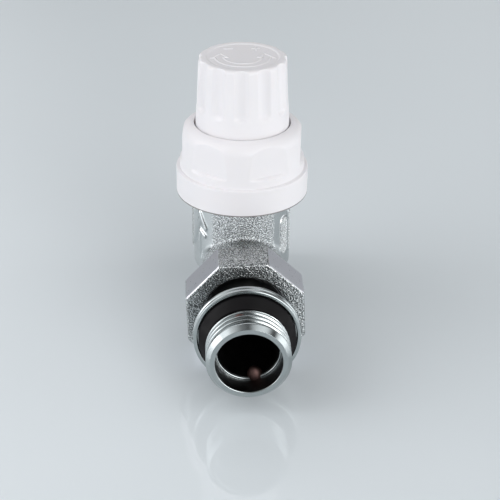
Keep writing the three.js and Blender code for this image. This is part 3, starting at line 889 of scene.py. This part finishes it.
def build_nut():
    """The octagonal union nut: four milled flats, four as forged, chamfered corners and a thread."""
    thread_major, thread_minor = 13.75, 13.45
    corners = [
        (thread_minor, NUT_BACK, 0.3),
        (14.9, NUT_BACK, 0),
        (17.2, NUT_BACK, 0),
        (17.2, NUT_FRONT, 0),
        (14.3, NUT_FRONT, 0),
        (11.4, NUT_FRONT, 0.35),
        (11.4, 32, 0.1),
        (thread_minor, 32, 0.1),
    ]
    profile = outline(corners, 5, 0.22)

    def reshape(radius, height, turn):
        """Cuts the octagon with its chamfers outside and the thread inside."""
        off = to_nearest(turn, NUT_SIDES, NUT_TURN)
        side = NUT_APOTHEM / np.cos(off)
        from_front = NUT_FRONT - height
        from_back = height - NUT_BACK
        corner_reach = NUT_APOTHEM / np.cos(math.pi / NUT_SIDES)
        cone = corner_reach - 0.45 + 1.3 * np.minimum(from_front, from_back + 0.2)
        edge = side - 0.38 + np.minimum(from_front, from_back + 0.25)
        limit = soft_min(soft_min(side, cone, 0.35), edge, 0.2)
        radius = np.minimum(radius, limit)
        groove = (np.abs(radius - thread_minor) < 0.1) & (height < 31.5)
        wave = thread_wave(height, -turn, PIPE_PITCH)
        depth = (thread_major - thread_minor) * ramp(height, NUT_BACK + 0.3, NUT_BACK + 1)
        return radius + groove * depth * (1 - wave), height

    points = along_pipe(turned_grid(profile, NUT_COLUMNS, reshape))
    faces = grid_faces(len(profile), NUT_COLUMNS, True)
    centres = points.reshape(-1, 3)[np.array(faces)].mean(1)
    around = np.arctan2(centres[:, 0], -centres[:, 2])
    off_flat = np.abs(to_nearest(around, NUT_SIDES // 2, math.pi / 4 + NUT_TURN))
    apothem = np.hypot(centres[:, 0], centres[:, 2]) * np.cos(off_flat)
    milled = (off_flat < math.pi / NUT_SIDES - 0.012) & (apothem > NUT_APOTHEM - 0.12)
    # Faces inside the nut's thread get the near-black painted shade.
    shaded_bore = np.hypot(centres[:, 0], centres[:, 2]) < thread_major + 0.05
    shaded_bore &= (-centres[:, 1] > NUT_BACK + 0.1) & (-centres[:, 1] < NUT_FRONT - 0.2)
    materials = [MATERIALS["forged"], MATERIALS["milled"], MATERIALS["shaded_bore"]]
    make_piece("nut_octagon", points.reshape(-1, 3), faces, "nut",
               ["union_nut"], materials, milled + 2 * shaded_bore)


def build_tailpiece():
    """The turned tube with its grooves, flange, pocket for the seal and radiator thread."""
    corners = [
        (7, TAIL_END, 0.2),
        (8.85, TAIL_END, 0.3),
        (8.85, 25.4, 0.1),
        (7.9, 25.4, 0.1),
        (7.9, 27.4, 0.1),
        (8.85, 27.4, 0.1),
        (8.85, 30.2, 0.1),
        (10.4, 30.2, 0.2),
        (10.4, 30.5, 0),
        (9.7, 30.5, 0),
        (9.7, 31.8, 0),
        (10.4, 31.8, 0.1),
        (10.4, FLANGE_BACK, 0.4),
        (FLANGE_RADIUS, FLANGE_BACK, 0.3),
        (FLANGE_RADIUS, FLANGE_BACK + 0.85, 0.12),
        (FLANGE_RADIUS - 0.22, FLANGE_BACK + 1.1, 0.1),
        (FLANGE_RADIUS - 0.22, FLANGE_BACK + 1.35, 0.1),
        (FLANGE_RADIUS, FLANGE_BACK + 1.6, 0.12),
        (FLANGE_RADIUS, FLANGE_FRONT, 0.35),
        (12.45, FLANGE_FRONT, 0.2),
        (12.45, 42.6, 0.1),
        (9.3, 42.6, 0.1),
        (9.3, THREAD_START, 0.1),
        (THREAD_CREST, THREAD_START + 0.6, 0),
        (THREAD_CREST, OUTLET_REACH - 1.25, 0),
        (9.5, OUTLET_REACH, 0.06),
        (MOUTH_RADIUS, OUTLET_REACH, 0.25),
        (MOUTH_RADIUS, TAIL_STEP, 0.05),
        (STEP_LIP, TAIL_STEP, 0.3),
        (TAIL_BORE, TAIL_STEP - 0.5, 0.2),
    ]
    profile = outline(corners, 5, 0.12)

    def reshape(radius, height, turn):
        """Cuts the radiator thread, which fades out at both ends."""
        in_thread = (radius > THREAD_ROOT) & (height > THREAD_START - 0.1)
        wave = thread_wave(height, -turn, PIPE_PITCH)
        vee = THREAD_ROOT + (THREAD_CREST - THREAD_ROOT) * wave
        depth = ramp(height, THREAD_START, THREAD_START + 0.7)
        depth *= ramp(-height, 1.35 - OUTLET_REACH, 1.95 - OUTLET_REACH)
        screwed = radius + (np.minimum(vee, radius) - radius) * depth
        return np.where(in_thread, screwed, radius), height

    tube = along_pipe(turned_grid(profile, TAIL_COLUMNS, reshape)).reshape(-1, 3)
    faces = grid_faces(len(profile), TAIL_COLUMNS, True)
    centres = tube[np.array(faces)].mean(1)
    reach = np.hypot(centres[:, 0], centres[:, 2])
    ahead = -centres[:, 1]
    # Faces inside the tube, and the tube between nut and flange, get the near-black painted shade.
    wall = (reach < MOUTH_RADIUS + 0.02) & (ahead < OUTLET_REACH - 0.3)
    wall &= np.abs(ahead - TAIL_STEP + 0.15) > 0.2
    shaded = (reach < 10.5) & (ahead > 27) & (ahead < FLANGE_BACK - 0.2)
    materials = [MATERIALS["nickel_turned"], MATERIALS["shaded_bore"]]
    make_piece("tail_tube", tube, faces, "tailpiece", ["tailpiece"],
               materials, (wall | shaded).astype(int))


def build_lugs():
    """Two rounded lugs inside the tailpiece, which a stepped key turns."""
    verts, faces = [], []
    for side in (-1, 1):
        ball = bmesh.new()
        bmesh.ops.create_icosphere(ball, subdivisions=4, radius=1)
        stretch = Matrix.Diagonal((2.0, 1.6, 2.6, 1))
        place = Matrix.Translation((0, 1.2 - TAIL_STEP, side * (TAIL_BORE + 0.3)))
        place = Matrix.Rotation(-LUG_TURN, 4, "Y") @ place
        bmesh.ops.transform(ball, matrix=place @ stretch, verts=ball.verts)
        start = len(verts)
        verts += [tuple(vert.co) for vert in ball.verts]
        faces += [[start + vert.index for vert in face.verts] for face in ball.faces]
        ball.free()
    make_piece("tail_lugs", verts, faces, "tailpiece", [], [MATERIALS["lug"]])


def build_seal():
    """The black rubber ring that the flange presses on the radiator."""
    corners = [
        (9.6, -SEAL_HIGH.y, 0.2),
        (SEAL_HIGH.x, -SEAL_HIGH.y, 0.2),
        (SEAL_HIGH.x, 44.9, 0.5),
        (10.2, -SEAL_LOW.y, 0.5),
        (9.6, -SEAL_LOW.y, 0.2),
    ]
    turned_piece("seal_ring", outline(corners, 6, 0.3), SEAL_COLUMNS, "tailpiece",
                 ["radiator_seal"], [MATERIALS["seal_rubber"]], pipe=True)


# ---------------------------------------------------------------- bonnet and spring

def build_bonnet():
    """The brass insert of the barrel, with the thread that the cap screws on."""
    crest, root = 14.7, 13.85
    corners = [
        (4.7, BONNET_LOW.z, 0.1),
        (8, BONNET_LOW.z, 0.3),
        (8, 12.4, 0.1),
        (9.7, 12.4, 0.3),
        (9.7, 16.2, 0.1),
        (8.3, 16.2, 0.1),
        (8.3, 18.4, 0.1),
        (9.7, 18.4, 0.1),
        (9.7, BARREL_TOP + 0.3, 0.1),
        (12.6, BARREL_TOP + 0.3, 0.2),
        (12.6, 21.6, 0.2),
        (root, 21.6, 0.1),
        (crest, 22.4, 0),
        (crest, 27.8, 0),
        (root, 28.4, 0.1),
        (7, 28.4, 0.3),
        (7, BONNET_HIGH.z, 0.2),
        (4.3, BONNET_HIGH.z, 0.2),
        (4.3, 24.9, 0.1),
        (1.85, 24.9, 0.1),
        (1.85, 23.2, 0.1),
        (5.5, 23.2, 0.2),
        (5.5, 11, 0.1),
        (4.7, 11, 0.1),
    ]

    def reshape(radius, height, turn):
        """Cuts the cap's thread."""
        wave = thread_wave(height, turn, CAP_PITCH)
        vee = root + (crest - root) * wave
        return np.where(radius > root, np.minimum(radius, vee), radius), height

    turned_piece("bonnet_insert", outline(corners, 4, 0.16), BONNET_COLUMNS, "body",
                 ["bonnet"], [MATERIALS["brass"]], reshape)


def build_spring():
    """The return spring, with closed coils at both ends, on a mesh of its own."""
    wire, coil, turns = 0.45, 4.0, 4.5
    steps, sides = 320, 14
    share = np.linspace(0, 1, steps)
    angle = share * turns * 2 * math.pi
    rise_share = ramp(share, 0.12, 0.88)
    length = SPRING_HIGH.z - SPRING_LOW.z
    height = SPRING_LOW.z + wire + (length - 2 * wire) * rise_share
    height = height + 0.001 * share
    section = np.linspace(0, 2 * math.pi, sides, endpoint=False)
    reach = coil + wire * np.cos(section)[None, :]
    rise = height[:, None] + wire * np.sin(section)[None, :]
    points = np.stack([
        reach * np.cos(angle)[:, None],
        reach * np.sin(angle)[:, None],
        rise,
    ], -1)
    faces = grid_faces(steps, sides, False)
    faces += [tuple(range(sides)), tuple(range((steps - 1) * sides, steps * sides))]
    spring = make_piece("spring_coil", points.reshape(-1, 3), faces, "body",
                        ["return_spring"], [MATERIALS["steel"]])
    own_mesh(spring)


def finish_cad_nodes():
    """Gives every CAD node that still shows the material of its slot."""
    slots = {row["node"]: row["material_slot"] for row in frame["record"]["subparts"]}
    for node, piece in frame["nodes"].items():
        piece.data.materials.clear()
        piece.data.materials.append(MATERIALS[slots[node]])


# ---------------------------------------------------------------- stage, light and camera

def build_floor():
    """A plain, pale, glossy floor."""
    mesh = bpy.data.meshes.new("floor")
    corners = [(-1, -1), (1, -1), (1, 1), (-1, 1)]
    mesh.from_pydata([(x * FLOOR_REACH, y * FLOOR_REACH, 0) for x, y in corners], [], [(0, 1, 2, 3)])
    floor = bpy.data.objects.new("floor", mesh)
    bpy.context.scene.collection.objects.link(floor)
    material, tree, shader = new_material("pale_acrylic", (0.815, 0.868, 0.893), 0.03)
    haze = object_noise(tree, 3, 2)
    vary_color(tree, shader, haze, (0.805, 0.858, 0.883), (0.825, 0.878, 0.903))
    shader.inputs["Specular IOR Level"].default_value = 0.65
    mesh.materials.append(material)


def direction_to(azimuth, elevation):
    """Unit vector at an azimuth from the outlet towards +X and an elevation, in degrees."""
    around, above = math.radians(azimuth), math.radians(elevation)
    return Vector((math.sin(around) * math.cos(above), -math.cos(around) * math.cos(above), math.sin(above)))


def add_softbox(name, azimuth, elevation, size, radiance, color):
    """An area light aimed at the valve, out of the camera's sight."""
    away = direction_to(azimuth, elevation)
    data = bpy.data.lights.new(name, "AREA")
    data.shape = "RECTANGLE"
    data.size, data.size_y = size
    data.energy = radiance * math.pi * size[0] * size[1]
    data.color = color
    light = bpy.data.objects.new(name, data)
    light.location = SOFTBOX_AIM + away * SOFTBOX_DISTANCE
    light.rotation_euler = (-away).to_track_quat("-Z", "Y").to_euler()
    light.visible_camera = False
    bpy.context.scene.collection.objects.link(light)


def build_lights():
    """Two softboxes and a world of soft round glows."""
    add_softbox("left_softbox", -86, 8, (0.56, 0.5), 2.3, (0.98, 0.97, 1.0))
    add_softbox("right_softbox", 28, 15, (0.56, 0.46), 2.5, (1.0, 0.985, 0.975))
    world = bpy.data.worlds.new("studio")
    world.use_nodes = True
    bpy.context.scene.world = world
    tree = world.node_tree
    direction = tree.nodes.new("ShaderNodeTexCoord").outputs["Generated"]
    brightness = None
    for azimuth, elevation, radiance in LEFT_GLOW + RIGHT_GLOW + BACK_GLOW + HIGH_GLOW:
        facing = tree.nodes.new("ShaderNodeVectorMath")
        facing.operation = "DOT_PRODUCT"
        facing.inputs[1].default_value = direction_to(azimuth, elevation)
        tree.links.new(direction, facing.inputs[0])
        lobe = map_range(tree, facing.outputs["Value"], GLOW_EDGE, GLOW_MIDDLE, 0, radiance, "SMOOTHSTEP")
        if brightness is None:
            brightness = lobe
            continue
        total = tree.nodes.new("ShaderNodeMath")
        total.operation = "ADD"
        tree.links.new(brightness, total.inputs[0])
        tree.links.new(lobe, total.inputs[1])
        brightness = total.outputs["Value"]
    background = tree.nodes["Background"]
    background.inputs["Color"].default_value = (0.965, 0.98, 1.0, 1)
    tree.links.new(brightness, background.inputs["Strength"])


def build_camera():
    """The view of the valve from a little left of its outlet, looking down on it."""
    level = math.cos(CAMERA_PITCH)
    forward = Vector((math.sin(CAMERA_YAW) * level, math.cos(CAMERA_YAW) * level, -math.sin(CAMERA_PITCH)))
    right = Vector((math.cos(CAMERA_YAW), -math.sin(CAMERA_YAW), 0))
    up = right.cross(forward)
    rolled_right = right * math.cos(CAMERA_ROLL) + up * math.sin(CAMERA_ROLL)
    rolled_up = up * math.cos(CAMERA_ROLL) - right * math.sin(CAMERA_ROLL)
    data = bpy.data.cameras.new("camera")
    data.sensor_width = 36
    data.lens = CAMERA_LENS
    camera = bpy.data.objects.new("camera", data)
    turn = Matrix((rolled_right, rolled_up, -forward)).transposed().to_4x4()
    camera.matrix_world = Matrix.Translation(CAMERA_PLACE) @ turn
    bpy.context.scene.collection.objects.link(camera)
    bpy.context.scene.camera = camera


bpy.context.scene.view_settings.view_transform = "Standard"
build_camera()
build_lights()
build_floor()
finish_cad_nodes()
build_body()
build_bonnet()
build_spring()
build_collar()
build_knob()
build_nut()
build_tailpiece()
build_lugs()
build_seal()
